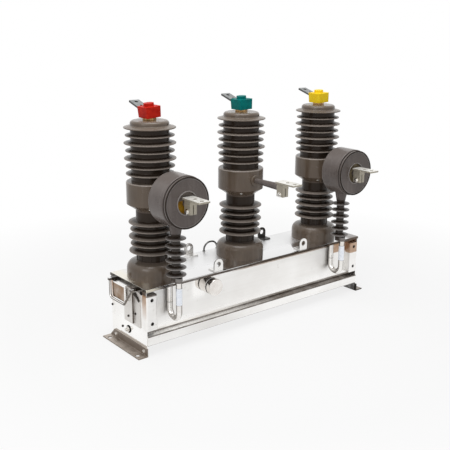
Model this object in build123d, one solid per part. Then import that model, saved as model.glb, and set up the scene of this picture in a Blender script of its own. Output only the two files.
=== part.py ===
import math
import os

from build123d import *

# Outdoor vacuum circuit breaker of the 12 kV column type, in millimetres.
# X runs along the housing, the outlets point to -Y, Z is up and the ground is at zero.
# The origin is the middle of the four foundation holes.

# Housing
phase_spacing = 340.0
box_length = 893.0
left_margin = 88.0
sheet = 2.5
wall_recess = 21.0
lid_margin = 24.0
lid_top = 207.0
lid_lip = 8.0
lid_bend = 3.0
tray_bottom = 32.0
tray_height = 31.0
tray_step = 2.0
tray_bend = 4.0
overrun = 5.0
clearance = 0.3

# Feet
foot_sheet = 4.0
foot_flange = 33.0
foot_leg = 27.0
foot_overhang = 3.0
foot_chamfer = 22.0
foot_hole_d = 14.0
foot_hole_pitch = 160.0
foot_hole_edge = 11.5

# Corner brackets
bracket_width = 38.0
bracket_bend = 6.0
bracket_gap = 12.0
bracket_height = 109.0
bracket_hole_d = 11.0
bracket_hole_pitch = 73.0
bracket_hole_base = 20.5

# Plug on the front wall
plug_from_left = 239.0
plug_gap = 7.0
plug_d = 52.0
plug_reach = 38.0
plug_groove = 5.0
plug_groove_depth = 4.0
plug_disc = 17.0
plug_round = 2.0

# Lifting eyes and the rear hoop
eye_pitch = 360.0
rear_eye_pitch = 316.0
eye_setback = 8.0
eye_width = 34.0
eye_height = 39.0
eye_sheet = 4.0
eye_hole_d = 16.0
eye_base = 28.0
hoop_from_eye = 112.5
hoop_span = 54.0
hoop_height = 31.0
hoop_rod_d = 6.0
hoop_setback = 6.0
hoop_bend_share = 0.9

# Pole castings, heights above the lid and radii
bell_r = 77.0
bell_height = 52.0
bell_skirt = 44.0
bell_round = 12.0
neck_r = 46.0
lower_shed_r = 68.0
lower_small_r = 63.5
lower_shed_start = 81.0
lower_shed_pitch = 21.9
lower_sheds = ["large", "small", "large", "small", "large"]
collar_r = 72.0
collar_start = 207.0
collar_taper = 18.0
collar_height = 66.0
collar_round = 4.0
column_r = 56.5
upper_shed_r = 75.5
upper_small_r = 71.5
upper_shed_start = 313.0
upper_shed_pitch = 22.2
upper_sheds = ["small", "small", "large", "small", "large", "small", "large"]
cap_rise = 20.3
cap_round = 9.0
shed_rim = 3.0
shed_rim_round = 1.2
shed_root_round = 2.0
shed_slope_share = 0.28
shed_under_share = 0.1

# Outlets towards the front
outlet_above_lid = 258.5
boss_r = 17.5
boss_reach = 4.5
boss_round = 2.5
rod_start_r = 8.0
rod_end_r = 11.5
rod_spigot_r = 7.0
clamp_width = 22.0
clamp_wall = 5.0
clamp_face = 5.0
clamp_gap = 0.5
clamp_depth = 28.0
clamp_below = 27.0
clamp_slit = 3.0
pad_width = 38.0
pad_sheet = 5.0
pad_end = 263.0
pad_rise = 19.0
pad_hole_d = 11.0
pad_hole_pitch = 30.0
pad_hole_edge = 14.0
pad_round = 3.0

# Current transformers on the outer outlets
drum_r = 76.0
drum_back = 100.0
drum_body = 72.0
drum_groove = 3.5
drum_groove_depth = 9.0
drum_cap = 7.0
drum_cap_step = 3.0
drum_round = 5.0
drum_bore_r = 32.0
bush_recess = 7.0
post_r = 13.0
post_neck_r = 20.0
post_neck_drop = 36.0
post_shed_r = 30.0
post_shed_top = 145.0
post_shed_pitch = 21.8
post_shed_count = 6
post_shed_rim = 2.5
post_rim_round = 1.0
post_root_round = 1.5
post_foot_r = 14.0
post_foot_height = 14.0
post_bottom = 15.0
post_from_back = 24.0

# Drip pipes
pipe_d = 18.0
pipe_from_back = 37.5
pipe_socket = 2.0
pipe_drop = 106.5

# Top fittings
stub_flats = 34.0
stub_height = 8.0
stud_r = 10.0
stud_height = 14.0
cover_width = 48.0
cover_depth = 52.0
cover_height = 32.0
cover_wall = 3.0
cover_round = 3.0
cover_draft = 1.5
cover_lean = {"red": 5.0, "green": 3.0, "yellow": 3.0}
button_r = 15.0
button_height = 9.0
top_block_width = 34.0
top_block_depth = 38.0
top_block_gap = 3.0
top_plate_width = 33.0
top_plate_sheet = 6.0
top_plate_reach = 82.0
top_plate_root = 8.0
top_plate_slope = 17.0
top_hole_d = 11.0
top_hole_pitch = 30.0
top_hole_edge = 14.0

# Left end: hood, rod handle, bracket and earth bolt
hood_centre = 20.0
hood_width = 70.0
hood_drop = 49.0
hood_reach = 22.0
hood_round = 6.0
lug_reach = 29.0
lug_width = 10.0
handle_rod_d = 7.0
handle_rear = 58.0
handle_front = -66.0
handle_drop = 54.0
handle_foot = -22.0
handle_round = 12.0
plate_centre = -23.5
plate_width = 89.0
plate_drop = 10.0
plate_height = 110.0
fin_reach = 5.0
fin_margin = 6.0
fin_offset = -11.0
earth_y = 2.0
earth_rise = 26.0
earth_r = 9.0
earth_stud_r = 5.0
earth_nut = 5.0
earth_reach = 12.0

# Worked-out places
half_length = box_length / 2
lid_half_depth = bell_r + lid_margin
wall_half_depth = lid_half_depth - wall_recess
tray_half_depth = lid_half_depth + tray_step
foot_length = 2 * (lid_half_depth + foot_overhang)
inner_half = half_length - sheet
lid_under = lid_top - sheet
lip_bottom = lid_top - lid_lip
plate_half_depth = lid_half_depth - sheet
plug_z = lip_bottom - plug_gap - plug_d / 2
bracket_top = lip_bottom - bracket_gap
bracket_bottom = bracket_top - bracket_height
handle_bottom = lip_bottom - handle_drop
plate_top = lip_bottom - plate_drop
plate_bottom = plate_top - plate_height
earth_z = foot_leg + earth_rise
phases = ["red", "green", "yellow"]
pole_x = [left_margin - half_length + i * phase_spacing for i in range(len(phases))]
transformer_sides = {"left": pole_x[0], "right": pole_x[-1]}
outlet_z = lid_top + outlet_above_lid
boss_front = collar_r + boss_reach
drum_depth = drum_body + drum_groove + drum_cap
drum_front = drum_back + drum_depth
post_offset = drum_back + post_from_back
pipe_offset = drum_back + pipe_from_back
clamp_start = drum_front + clamp_gap
rod_end = clamp_start + clamp_depth - clamp_face
last_shed = upper_shed_start + (len(upper_sheds) - 1) * upper_shed_pitch
cap_height = last_shed + cap_rise
cap_top = lid_top + cap_height
sides = {"left": -1, "right": 1}

os.makedirs("parts", exist_ok=True)


def save(name, shape):
    export_step(shape, f"parts/{name}.step")


def block(x0, x1, y0, y1, z0, z1):
    """Box between two corners."""
    middle = Pos((x0 + x1) / 2, (y0 + y1) / 2, (z0 + z1) / 2)
    return middle * Box(abs(x1 - x0), abs(y1 - y0), abs(z1 - z0))


def turned(points, radii=None):
    """Solid of revolution about Z from a closed outline of (radius, height)."""
    corner_radii = radii or [0] * len(points)
    outline = FilletPolyline(*points, radius=corner_radii, close=True)
    return revolve(make_face(Plane.XZ * outline), Axis.Z)


def forward(shape, x, y, z):
    """Stand a piece turned about Z on its side, so that its +Z end points to -Y."""
    return Pos(x, y, z) * Rot(90, 0, 0) * shape


def shed(root_r, rim_r, rim_height, rim):
    """Outline of one shed, from its lower root over the rim to its upper root; four corners."""
    overhang = rim_r - root_r
    low = rim_height - rim / 2
    high = rim_height + rim / 2
    return [
        (root_r, low + overhang * shed_under_share),
        (rim_r, low),
        (rim_r, high),
        (root_r, high + overhang * shed_slope_share),
    ]


# Feet: an angle under each end, chamfered at the rear of its upright leg
def foot(side):
    root = sides[side] * half_length
    toe = sides[side] * (half_length + foot_flange)
    leg_face = sides[side] * (half_length + foot_sheet)
    half = foot_length / 2
    flange = block(root, toe, -half, half, 0, foot_sheet)
    outline = Polyline(
        (-half, 0),
        (half, 0),
        (half, foot_leg - foot_chamfer),
        (half - foot_chamfer, foot_leg),
        (-half, foot_leg),
        close=True,
    )
    leg = extrude(Plane.YZ * make_face(outline), amount=foot_sheet)
    leg = Pos(min(root, leg_face), 0, 0) * leg
    hole_x = sides[side] * (half_length + foot_flange - foot_hole_edge)
    angle = flange + leg
    for y in (-foot_hole_pitch / 2, foot_hole_pitch / 2):
        angle -= Pos(hole_x, y, 0) * Cylinder(foot_hole_d / 2, foot_sheet * 2 + overrun)
    return angle


# Housing: bottom tray, closed case between its end plates, and the lid pan
def bottom_tray():
    tray = block(-inner_half, inner_half, -tray_half_depth, tray_half_depth,
                 tray_bottom, tray_bottom + tray_height)
    return fillet(tray.edges().filter_by(Axis.X), tray_bend)


def housing_body():
    case = block(-inner_half, inner_half, -wall_half_depth, wall_half_depth,
                 tray_bottom + tray_height, lid_under)
    for sign in sides.values():
        plate = block(sign * inner_half, sign * half_length, -plate_half_depth, plate_half_depth,
                      foot_sheet, lid_under)
        for end in (-1, 1):
            plate -= block(sign * (inner_half - overrun), sign * (half_length + overrun), end * wall_half_depth,
                           end * (plate_half_depth + overrun), bracket_bottom, bracket_top)
        case += plate
    return case


def lid():
    reach = half_length + sheet
    pan = block(-reach, reach, -lid_half_depth, lid_half_depth, lip_bottom, lid_top)
    pan = fillet(pan.edges().group_by(Axis.Z)[-1] + pan.edges().filter_by(Axis.Z), lid_bend)
    pan -= block(-half_length, half_length, -plate_half_depth, plate_half_depth,
                 lip_bottom - overrun, lid_under)
    for y in (handle_rear, handle_front):
        lug = block(-reach - lug_reach, -reach, y - lug_width / 2, y + lug_width / 2, lip_bottom, lid_top)
        pan += lug
    return pan


# Corner brackets: a folded channel with a holed face, two returns and a flange on top
def bracket(side, front):
    outer = half_length
    inner = half_length - bracket_width
    face = lid_half_depth
    inner_bend = bracket_bend - sheet
    outline = FilletPolyline(
        (inner, wall_half_depth),
        (inner, face),
        (outer, face),
        (outer, wall_half_depth),
        (outer - sheet, wall_half_depth),
        (outer - sheet, face - sheet),
        (inner + sheet, face - sheet),
        (inner + sheet, wall_half_depth),
        radius=[0, bracket_bend, bracket_bend, 0, 0, inner_bend, inner_bend, 0],
        close=True,
    )
    piece = Pos(0, 0, bracket_bottom) * extrude(make_face(outline), amount=bracket_height)
    cover = FilletPolyline(
        (inner, wall_half_depth),
        (inner, face),
        (outer, face),
        (outer, wall_half_depth),
        radius=[0, bracket_bend, bracket_bend, 0],
        close=True,
    )
    piece += Pos(0, 0, bracket_top - sheet) * extrude(make_face(cover), amount=sheet)
    first = bracket_bottom + bracket_hole_base
    for z in (first, first + bracket_hole_pitch):
        hole = Rot(90, 0, 0) * Cylinder(bracket_hole_d / 2, sheet * 2 + overrun)
        piece -= Pos(half_length - bracket_width / 2, face, z) * hole
    if side == "left":
        piece = mirror(piece, Plane.YZ)
    if front:
        piece = mirror(piece, Plane.XZ)
    return piece


def plug_cap():
    r = plug_d / 2
    neck = r - plug_groove_depth
    flange_end = plug_reach - plug_disc - plug_groove
    points = [
        (0, 0),
        (r, 0),
        (r, flange_end),
        (neck, flange_end),
        (neck, flange_end + plug_groove),
        (r, flange_end + plug_groove),
        (r, plug_reach),
        (0, plug_reach),
    ]
    radii = [0, 0, plug_round, 0, 0, plug_round, plug_round, 0]
    return forward(turned(points, radii), plug_from_left - half_length, -wall_half_depth, plug_z)


# Lifting eyes: a round-topped plate with a hole, standing on a flat base
def lifting_eye(x, front):
    half = eye_width / 2
    crown = eye_height - half
    plate = Pos(0, 0, crown / 2) * Box(eye_width, eye_sheet, crown)
    plate += Pos(0, 0, crown) * Rot(90, 0, 0) * Cylinder(half, eye_sheet)
    plate -= Pos(0, 0, crown) * Rot(90, 0, 0) * Cylinder(eye_hole_d / 2, eye_sheet + overrun)
    base = block(-half, half, eye_sheet / 2, eye_base, 0, eye_sheet)
    y = -(lid_half_depth - eye_setback)
    eye = Pos(x, y, lid_top) * (plate + base)
    return eye if front else mirror(eye, Plane.XZ)


def rear_hoop():
    half = hoop_span / 2
    crown = hoop_height - hoop_rod_d / 2
    path = FilletPolyline(
        (-half, 0), (-half, crown), (half, crown), (half, 0),
        radius=[min(half, crown) * hoop_bend_share] * 2,
    )
    section = Plane((-half, 0, 0)) * Circle(hoop_rod_d / 2)
    loop = sweep(section, path=Plane.XZ * path)
    return Pos(hoop_from_eye - eye_pitch / 2, lid_half_depth - hoop_setback, lid_top) * loop



# Pole castings: bell, shedded neck, collar with the outlet boss, shedded column and cap
def pole(x):
    shed_radii = [0, shed_rim_round, shed_rim_round, shed_root_round]
    points = [(0, 0), (bell_r, 0), (bell_r, bell_skirt), (neck_r, bell_height)]
    radii = [0, 0, bell_round, 0]
    for i, kind in enumerate(lower_sheds):
        rim_r = lower_shed_r if kind == "large" else lower_small_r
        points += shed(neck_r, rim_r, lower_shed_start + i * lower_shed_pitch, shed_rim)
        radii += shed_radii
    collar_low = collar_start + collar_taper
    collar_high = collar_low + collar_height
    points += [(neck_r, collar_start), (collar_r, collar_low), (collar_r, collar_high), (column_r, collar_high)]
    radii += [0, 0, collar_round, 0]
    for i, kind in enumerate(upper_sheds):
        rim_r = upper_shed_r if kind == "large" else upper_small_r
        points += shed(column_r, rim_r, upper_shed_start + i * upper_shed_pitch, shed_rim)
        radii += shed_radii
    points += [(column_r, cap_height), (0, cap_height)]
    radii += [cap_round, 0]
    casting = Pos(x, 0, lid_top) * turned(points, radii)
    boss = turned([(0, 0), (boss_r, 0), (boss_r, boss_front), (0, boss_front)], [0, 0, boss_round, 0])
    return casting + forward(boss, x, 0, outlet_z)


# Outlet rod, thicker towards its clamp, with a spigot inside it; extra gives the hole around it
def outlet_rod(x, extra):
    sleeve = clamp_start - boss_front
    points = [
        (0, 0),
        (rod_start_r + extra, 0),
        (rod_end_r + extra, sleeve),
        (rod_spigot_r + extra, sleeve),
        (rod_spigot_r + extra, rod_end - boss_front + extra),
        (0, rod_end - boss_front + extra),
    ]
    return forward(turned(points), x, -boss_front, outlet_z)


# Front terminal: split clamp block on the rod and a two-hole pad on top
def front_terminal(x):
    half = clamp_width / 2
    clamp_front = clamp_start + clamp_depth
    pad_low = outlet_z + pad_rise - pad_sheet
    hub = Cylinder(rod_spigot_r + clamp_wall, clamp_depth, align=(Align.CENTER, Align.CENTER, Align.MIN))
    clamp = forward(hub, x, -clamp_start, outlet_z)
    clamp += block(x - half, x + half, -clamp_front, -clamp_start, outlet_z - clamp_below, pad_low)
    slit = block(x - clamp_slit / 2, x + clamp_slit / 2, -clamp_front - overrun, -clamp_start + overrun,
                 outlet_z - clamp_below - overrun, outlet_z)
    clamp -= slit
    pad = block(x - pad_width / 2, x + pad_width / 2, -pad_end, -clamp_start, pad_low, pad_low + pad_sheet)
    pad = fillet(pad.edges().filter_by(Axis.Z), pad_round)
    for i in range(2):
        y = -(pad_end - pad_hole_edge - i * pad_hole_pitch)
        pad -= Pos(x, y, pad_low) * Cylinder(pad_hole_d / 2, pad_sheet * 2 + overrun)
    return clamp + pad - outlet_rod(x, clearance)


# Current transformer: grooved drum around the rod, resin bush and shedded lead post
def drum(x):
    groove_r = drum_r - drum_groove_depth
    cap_r = drum_r - drum_cap_step
    cap_back = drum_body + drum_groove
    points = [
        (drum_bore_r, 0),
        (drum_r, 0),
        (drum_r, drum_body),
        (groove_r, drum_body),
        (groove_r, cap_back),
        (cap_r, cap_back),
        (cap_r, cap_back + drum_cap),
        (drum_bore_r, cap_back + drum_cap),
    ]
    radii = [0, drum_round, drum_cap_step, 0, 0, 0, drum_cap_step, drum_cap_step]
    return forward(turned(points, radii), x, -drum_back, outlet_z)


def bush(x):
    length = drum_front - drum_back - bush_recess
    plug = Cylinder(drum_bore_r - clearance, length, align=(Align.CENTER, Align.CENTER, Align.MIN))
    return forward(plug, x, -drum_back, outlet_z) - outlet_rod(x, clearance)


def lead_post(x):
    top = outlet_z - lid_top
    neck_low = top - drum_r - post_neck_drop
    points = [(0, post_bottom), (post_r, post_bottom)]
    radii = [0] * len(points)
    for i in reversed(range(post_shed_count)):
        points += shed(post_r, post_shed_r, post_shed_top - i * post_shed_pitch, post_shed_rim)
        radii += [0, post_rim_round, post_rim_round, post_root_round]
    points += [(post_r, neck_low), (post_neck_r, top - drum_r), (post_neck_r, top), (0, top)]
    radii += [0] * 4
    post = Pos(x, -post_offset, lid_top) * turned(points, radii)
    round_end = Pos(x, -post_offset) * Circle(post_foot_r)
    pipe_end = Pos(x, -pipe_offset) * Circle(pipe_d / 2 + pipe_socket)
    foot_face = make_hull([*round_end.edges(), *pipe_end.edges()])
    post += Pos(0, 0, lid_top + post_bottom) * extrude(foot_face, amount=post_foot_height)
    hollow = forward(Cylinder(drum_r + clearance, drum_r * 4), x, -post_offset, outlet_z)
    return post - hollow


# Drip pipe: down from the post, round below and up against the wall under the lid
def drip_pipe(x):
    front = -pipe_offset
    rear = -(wall_half_depth + pipe_d / 2 + clearance)
    bend_r = (rear - front) / 2
    bend_z = lid_under - pipe_drop + pipe_d / 2 + bend_r
    start = (x, front, lid_top + post_bottom)
    low_front = (x, front, bend_z)
    low_rear = (x, rear, bend_z)
    path = Line(start, low_front)
    path += ThreePointArc(low_front, (x, (front + rear) / 2, bend_z - bend_r), low_rear)
    path += Line(low_rear, (x, rear, lid_under))
    section = Plane(start, z_dir=(0, 0, -1)) * Circle(pipe_d / 2)
    return sweep(section, path=path)


# Top fittings: brass nut and stud, clamp block with its sloping plate, coloured cover
def top_stub(x):
    nut = extrude(RegularPolygon(stub_flats / 2, 6, major_radius=False, rotation=30), amount=stub_height)
    stud = Pos(0, 0, stub_height) * Cylinder(stud_r, stud_height, align=(Align.CENTER, Align.CENTER, Align.MIN))
    return Pos(x, 0, cap_top) * (nut + stud)


def top_plate(x, extra):
    slope = math.radians(top_plate_slope)
    length = (top_plate_reach - top_block_depth / 2) / math.cos(slope) + top_plate_root
    width = top_plate_width + 2 * extra
    plate = Box(width, length, top_plate_sheet + 2 * extra, align=(Align.CENTER, Align.MIN, Align.CENTER))
    plate = Pos(0, -top_plate_root, 0) * plate
    root_z = cap_top + stub_height + cover_height - cover_wall - top_block_gap - top_plate_sheet
    return Pos(x, top_block_depth / 2, root_z) * Rot(top_plate_slope, 0, 0) * plate


def top_terminal(x):
    low = cap_top + stub_height
    high = low + cover_height - cover_wall - top_block_gap
    half_width = top_block_width / 2
    half_depth = top_block_depth / 2
    terminal = block(x - half_width, x + half_width, -half_depth, half_depth, low, high)
    terminal += top_plate(x, 0)
    stud_hole = Cylinder(stud_r + clearance, stud_height, align=(Align.CENTER, Align.CENTER, Align.MIN))
    terminal -= Pos(x, 0, low) * stud_hole
    slope = math.radians(top_plate_slope)
    tip = (top_plate_reach - half_depth) / math.cos(slope)
    root_z = high - top_plate_sheet
    frame = Pos(x, half_depth, root_z) * Rot(top_plate_slope, 0, 0)
    for i in range(2):
        y = tip - top_hole_edge - i * top_hole_pitch
        terminal -= frame * Pos(0, y, 0) * Cylinder(top_hole_d / 2, top_plate_sheet * 2 + overrun)
    return terminal


# The covers sit a little askew on their blocks
def phase_cover(x, lean):
    low = cap_top + stub_height
    high = low + cover_height
    angle = math.degrees(math.atan(cover_draft / cover_height))
    outside = RectangleRounded(cover_width, cover_depth, cover_round)
    shell = extrude(outside, amount=-cover_height, taper=angle)
    inside = Rectangle(cover_width - 2 * cover_wall, cover_depth - 2 * cover_wall)
    shell -= Pos(0, 0, -cover_wall) * extrude(inside, amount=-cover_height, taper=angle)
    shell = Pos(x, 0, high) * shell
    button = Cylinder(button_r, button_height, align=(Align.CENTER, Align.CENTER, Align.MIN))
    shell += Pos(x, 0, high) * button
    pivot = Pos(x, 0, (low + high) / 2)
    shell = pivot * Rot(0, -lean, 0) * pivot.inverse() * shell
    return shell - top_plate(x, clearance)


# Left end: hood, rod handle hanging from the lid lugs, finned plate and earth bolt
def end_hood():
    back = -half_length
    front = back - hood_reach
    y0 = hood_centre - hood_width / 2
    y1 = hood_centre + hood_width / 2
    low = lip_bottom - hood_drop
    hood = block(front, back, y0, y1, low, lip_bottom)
    hood = fillet(hood.edges().filter_by(Axis.Z).group_by(Axis.X)[0], hood_round)
    hood -= block(front + sheet, back + overrun, y0 + sheet, y1 - sheet, low - overrun, lip_bottom - sheet)
    return hood


def end_handle():
    x = -half_length - sheet - lug_reach + lug_width / 2
    rise = lip_bottom - handle_bottom
    stretch = (rise + overrun) / rise
    path = FilletPolyline(
        (handle_rear, lip_bottom),
        (handle_rear, handle_bottom),
        (handle_foot, handle_bottom),
        (handle_foot + (handle_front - handle_foot) * stretch, lip_bottom + overrun),
        radius=[handle_round] * 2,
    )
    section = Plane((x, handle_rear, lip_bottom), z_dir=(0, 0, -1)) * Circle(handle_rod_d / 2)
    rod = sweep(section, path=Pos(x, 0, 0) * (Plane.YZ * path))
    return split(rod, Plane.XY.offset(lip_bottom), keep=Keep.BOTTOM)


def end_bracket():
    back = -half_length
    face = back - sheet
    half = plate_width / 2
    piece = block(face, back, plate_centre - half, plate_centre + half, plate_bottom, plate_top)
    piece -= block(face - overrun, back + overrun, hood_centre - hood_width / 2 - clearance,
                   plate_centre + half + overrun, lip_bottom - hood_drop - clearance, plate_top + overrun)
    fin_y = plate_centre + fin_offset
    piece += block(face - fin_reach, face, fin_y - sheet / 2, fin_y + sheet / 2,
                   plate_bottom + fin_margin, plate_top - fin_margin)
    return piece


def earth_bolt():
    points = [(0, 0), (earth_r, 0), (earth_r, earth_nut), (earth_stud_r, earth_nut),
              (earth_stud_r, earth_reach), (0, earth_reach)]
    return Pos(-half_length, earth_y, earth_z) * Rot(0, -90, 0) * turned(points)


for side in sides:
    save(f"foot_{side}", foot(side))
    save(f"bracket_front_{side}", bracket(side, True))
    save(f"bracket_rear_{side}", bracket(side, False))
save("bottom_tray", bottom_tray())
save("housing_body", housing_body())
save("lid", lid())
save("plug_cap", plug_cap())
for side, sign in sides.items():
    save(f"lifting_eye_front_{side}", lifting_eye(sign * eye_pitch / 2, True))
    save(f"lifting_eye_rear_{side}", lifting_eye(sign * rear_eye_pitch / 2, False))
save("rear_hoop", rear_hoop())
for phase, x in zip(phases, pole_x):
    save(f"pole_{phase}", pole(x))
    save(f"outlet_rod_{phase}", outlet_rod(x, 0))
    save(f"front_terminal_{phase}", front_terminal(x))
    save(f"top_stub_{phase}", top_stub(x))
    save(f"top_terminal_{phase}", top_terminal(x))
    save(f"phase_cover_{phase}", phase_cover(x, cover_lean[phase]))
for side, x in transformer_sides.items():
    save(f"transformer_drum_{side}", drum(x))
    save(f"transformer_bush_{side}", bush(x))
    save(f"lead_post_{side}", lead_post(x))
    save(f"drip_pipe_{side}", drip_pipe(x))
save("end_hood", end_hood())
save("end_handle", end_handle())
save("end_bracket", end_bracket())
save("earth_bolt", earth_bolt())
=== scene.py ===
import math

import bmesh
import bpy
import numpy as np
from mathutils import Matrix, Vector


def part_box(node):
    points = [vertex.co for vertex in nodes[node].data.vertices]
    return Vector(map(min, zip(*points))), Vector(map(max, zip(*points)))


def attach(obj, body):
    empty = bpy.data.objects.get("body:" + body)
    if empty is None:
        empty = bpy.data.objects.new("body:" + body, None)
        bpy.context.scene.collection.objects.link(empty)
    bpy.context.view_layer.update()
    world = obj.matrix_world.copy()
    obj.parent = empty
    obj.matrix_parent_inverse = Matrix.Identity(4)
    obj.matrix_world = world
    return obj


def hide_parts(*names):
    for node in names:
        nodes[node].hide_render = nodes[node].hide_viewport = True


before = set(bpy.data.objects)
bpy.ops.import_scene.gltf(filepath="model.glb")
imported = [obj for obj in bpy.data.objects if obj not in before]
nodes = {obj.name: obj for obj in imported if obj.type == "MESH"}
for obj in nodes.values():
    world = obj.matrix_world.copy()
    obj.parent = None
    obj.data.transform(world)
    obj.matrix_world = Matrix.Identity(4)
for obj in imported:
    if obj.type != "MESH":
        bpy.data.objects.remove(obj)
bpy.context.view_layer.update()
scene = bpy.context.scene
mm = 0.001
sides = ("left", "right")
ends = ("front", "rear")
phaseNames = ("red", "green", "yellow")
noiseSpan = (0.3, 0.7)   # most of a noise lies between these
patchSpan = (0.3, 0.6)   # the same with larger bright patches
print("frame loaded:", len(nodes), "nodes")


def middle(node):
    low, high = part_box(node)
    return (low + high) / 2


poleX = {phase: middle(f"top_stub_{phase}").x for phase in phaseNames}
postAxis = {side: middle(f"lead_post_{side}") for side in sides}
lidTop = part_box("pole_green")[0].z   # the bells stand on the lid


# node helpers: a value is either a socket, which is linked, or a number or colour, which is set
def addNode(tree, kind, inputs=(), **settings):
    node = tree.nodes.new("ShaderNode" + kind)
    for key, value in settings.items():
        setattr(node, key, value)
    for key, value in dict(inputs).items():
        socket = node.inputs[key]
        if isinstance(value, bpy.types.NodeSocket):
            tree.links.new(value, socket)
        elif socket.type == "RGBA" and len(value) == 3:
            socket.default_value = (*value, 1.0)
        else:
            socket.default_value = value
    return node


def addMath(tree, operation, a, b=0.0):
    return addNode(tree, "Math", {0: a, 1: b}, operation=operation).outputs[0]


def addRange(tree, value, fromLow, fromHigh, toLow=0.0, toHigh=1.0):
    return addNode(tree, "MapRange", {"Value": value, "From Min": fromLow, "From Max": fromHigh,
                                      "To Min": toLow, "To Max": toHigh}).outputs["Result"]


def addMix(tree, share, a, b):
    return addNode(tree, "Mix", {"Factor": share, "A": a, "B": b}, data_type="RGBA").outputs["Result"]


def addNoise(tree, coord, scale, detail=4.0, stretch=None, roughness=0.5):
    if stretch:
        coord = addNode(tree, "Mapping", {"Vector": coord, "Scale": stretch}).outputs["Vector"]
    return addNode(tree, "TexNoise", {"Vector": coord, "Scale": scale, "Detail": detail,
                                      "Roughness": roughness}).outputs["Fac"]


# a dark and a light tone, one at each end of a span of the noise
def addTones(tree, noise, span, dark, light):
    ramp = addNode(tree, "ValToRGB", {"Fac": noise})
    for element, place, colour in zip(ramp.color_ramp.elements, span, (dark, light)):
        element.position = place
        element.color = (*colour, 1.0)
    return ramp.outputs["Color"]


def addBump(tree, shader, height, strength, distance):
    bump = addNode(tree, "Bump", {"Height": height, "Strength": strength, "Distance": distance})
    tree.links.new(bump.outputs["Normal"], shader.inputs["Normal"])


# how far the surface faces a direction, from -1 to 1
def addFacing(tree, direction):
    normal = addNode(tree, "NewGeometry").outputs["Normal"]
    return addNode(tree, "VectorMath", {0: normal, 1: direction}, operation="DOT_PRODUCT").outputs["Value"]


# 1 between two places on an axis, fading over a soft edge outside them, all in mm
def addSpan(tree, place, low, high, soft):
    rise = addRange(tree, place, (low - soft) * mm, low * mm)
    fall = addRange(tree, place, high * mm, (high + soft) * mm, 1.0, 0.0)
    return addMath(tree, "MULTIPLY", rise, fall)


# a starting value kept inside all the spans (low, high, soft edge) of a box and 0 outside it
def addBox(tree, place, spans, inside=1.0):
    for axis, span in spans.items():
        inside = addMath(tree, "MULTIPLY", inside, addSpan(tree, place[axis], *span))
    return inside


def newMaterial(name):
    mat = bpy.data.materials.new(name)
    mat.use_nodes = True
    tree = mat.node_tree
    coord = addNode(tree, "TexCoord").outputs["Object"]
    place = addNode(tree, "SeparateXYZ", {"Vector": coord}).outputs
    return mat, tree, tree.nodes["Principled BSDF"], coord, place


def srgb(r, g, b):
    c = np.array([r, g, b]) / 255.0
    return tuple(np.where(c <= 0.04045, c / 12.92, ((c + 0.055) / 1.055) ** 2.4).tolist())


# polished sheet: cloudy polish marks, lines along the sheet, small ripples and a few specks;
# each band is (spans, colour, share): it tints what lies inside all its spans (low, high, soft edge) in mm;
# each polish entry is (spans, roughness) in the same way
def sheetSteel(name, look, bands=()):
    mat, tree, shader, coord, place = newMaterial(name)
    clouds = addNoise(tree, coord, look["cloudScale"], detail=5.0)
    lines = addNoise(tree, coord, 1.0, detail=2.0, stretch=look["grain"])
    specks = addNoise(tree, coord, look["speckScale"], detail=2.0)
    waves = addNoise(tree, coord, look["waveScale"], detail=2.0)
    mottle = addNoise(tree, coord, look["mottleScale"])
    tone = addTones(tree, clouds, noiseSpan, look["dark"], look["light"])
    speckle = addRange(tree, specks, *look["speckSpan"], 0.0, look["speckShare"])
    tone = addMix(tree, speckle, tone, look["speck"])
    for spans, colour, share in bands:
        patchy = addRange(tree, mottle, *patchSpan, share * 0.8, share)
        tone = addMix(tree, addBox(tree, place, spans, patchy), tone, colour)
    tree.links.new(tone, shader.inputs["Base Color"])
    rough = addRange(tree, lines, *noiseSpan, look["roughness"] * 0.8, look["roughness"] * 1.2)
    for spans, value in look["polish"]:
        rough = addRange(tree, addBox(tree, place, spans), 0.0, 1.0, rough, value)
    tree.links.new(rough, shader.inputs["Roughness"])
    shader.inputs["Metallic"].default_value = 1.0
    addBump(tree, shader, waves, look["ripple"], look["rippleDepth"] * mm)
    return mat


# polished rod and pipe: bright along its middle, with a painted reflection darkening one or both edges that
# face a direction
def rodSteel(name, look):
    mat, tree, shader, coord, _ = newMaterial(name)
    stains = addNoise(tree, coord, look["stainScale"])
    fine = addNoise(tree, coord, look["fineScale"], detail=3.0)
    edge = addFacing(tree, look["paintedReflectionSide"])
    if look["bothEdges"]:
        edge = addMath(tree, "ABSOLUTE", edge)
    shade = addRange(tree, edge, look["start"], look["full"], 0.0, look["share"])
    shade = addMath(tree, "MULTIPLY", shade, addRange(tree, stains, *patchSpan, 0.8, 1.0))
    tone = addTones(tree, stains, noiseSpan, look["plain"], look["light"])
    tree.links.new(addMix(tree, shade, tone, look["dark"]), shader.inputs["Base Color"])
    rough = addRange(tree, fine, *noiseSpan, look["roughness"] * 0.7, look["roughness"] * 1.3)
    tree.links.new(rough, shader.inputs["Roughness"])
    shader.inputs["Metallic"].default_value = 1.0
    addBump(tree, shader, fine, look["fineBump"], look["fineDepth"] * mm)
    return mat
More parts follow.
